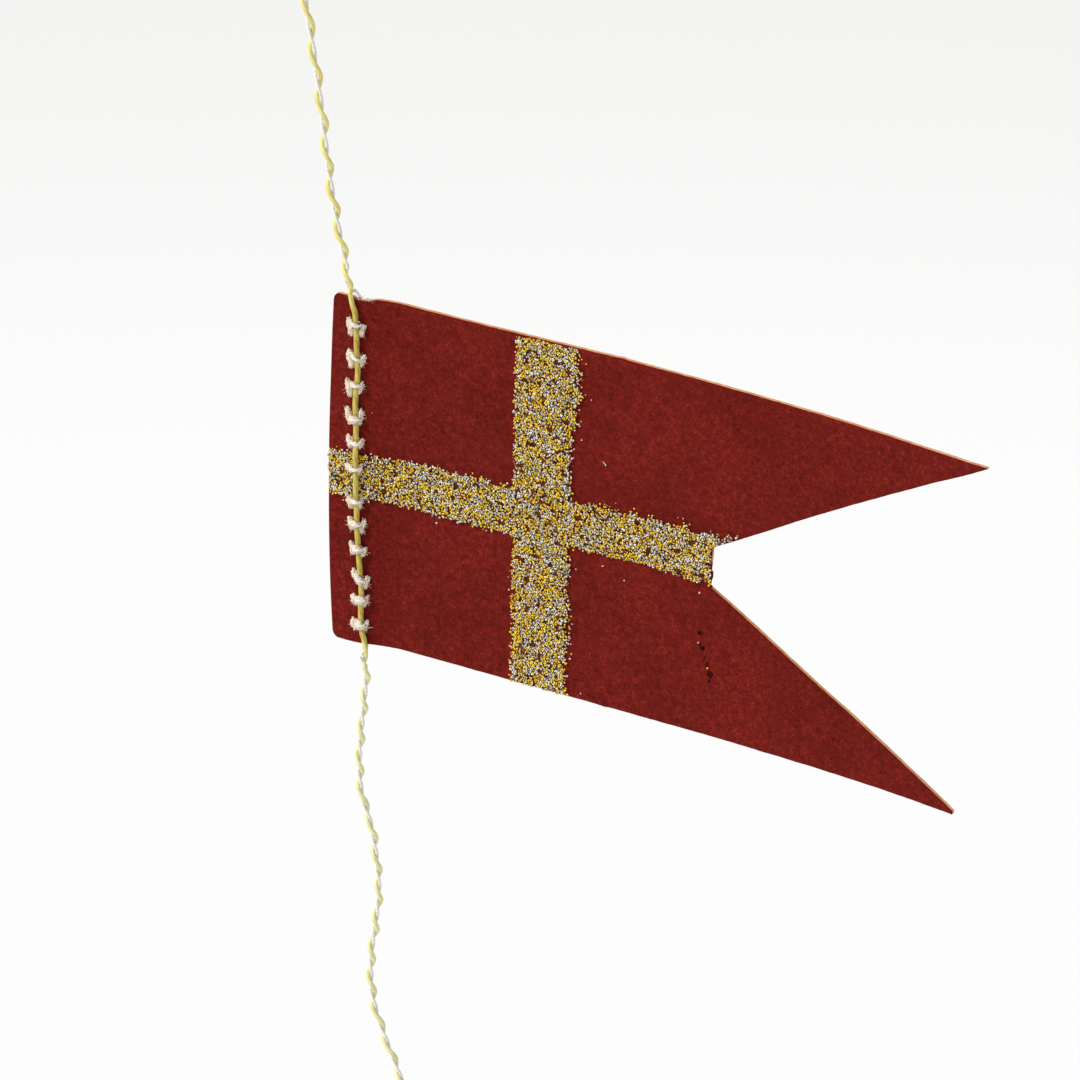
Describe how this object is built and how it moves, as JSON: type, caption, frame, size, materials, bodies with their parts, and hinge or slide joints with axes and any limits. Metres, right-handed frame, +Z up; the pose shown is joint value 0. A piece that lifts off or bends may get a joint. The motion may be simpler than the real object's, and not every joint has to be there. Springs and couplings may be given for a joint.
{
  "type": "swallow-tailed bunting flag on a sewing thread",
  "caption": "Small swallow-tailed flag of stiff red card with a glitter cross, machine-sewn along its hoist edge to a twisted pair of threads with a hanging loop.",
  "frame": {"origin": "the inside of the hanging loop's top, where the thread is hung up", "axes": "+Z up along the hanging thread, +X from the hoist edge out to the swallow tail, -Y out of the decorated face"},
  "size_m": [0.0841, 0.0043, 0.1481],
  "materials": {
    "red_card": "matt, mottled with fibres",
    "glitter": "gold and silver metallised glitter grains on glue",
    "yellow_thread": "plied thread, slightly shiny",
    "white_thread": "fine multifilament thread",
    "torn_card": "torn card fibres and the thread over them"
  },
  "bodies": {
    "root": {"flag_card": "red_card", "glitter_cross": "glitter", "seam_thread": "yellow_thread", "needle_thread": "white_thread", "stitch_01": "torn_card", "stitch_02": "torn_card", "stitch_03": "torn_card", "stitch_04": "torn_card", "stitch_05": "torn_card", "stitch_06": "torn_card", "stitch_07": "torn_card", "stitch_08": "torn_card", "stitch_09": "torn_card", "stitch_10": "torn_card", "stitch_11": "torn_card", "stitch_12": "torn_card", "upper_yellow": "yellow_thread", "upper_white": "white_thread", "lower_yellow": "yellow_thread", "lower_white": "white_thread", "hanging_loop": "yellow_thread", "end_knot": "yellow_thread"}
  },
  "joints": []
}
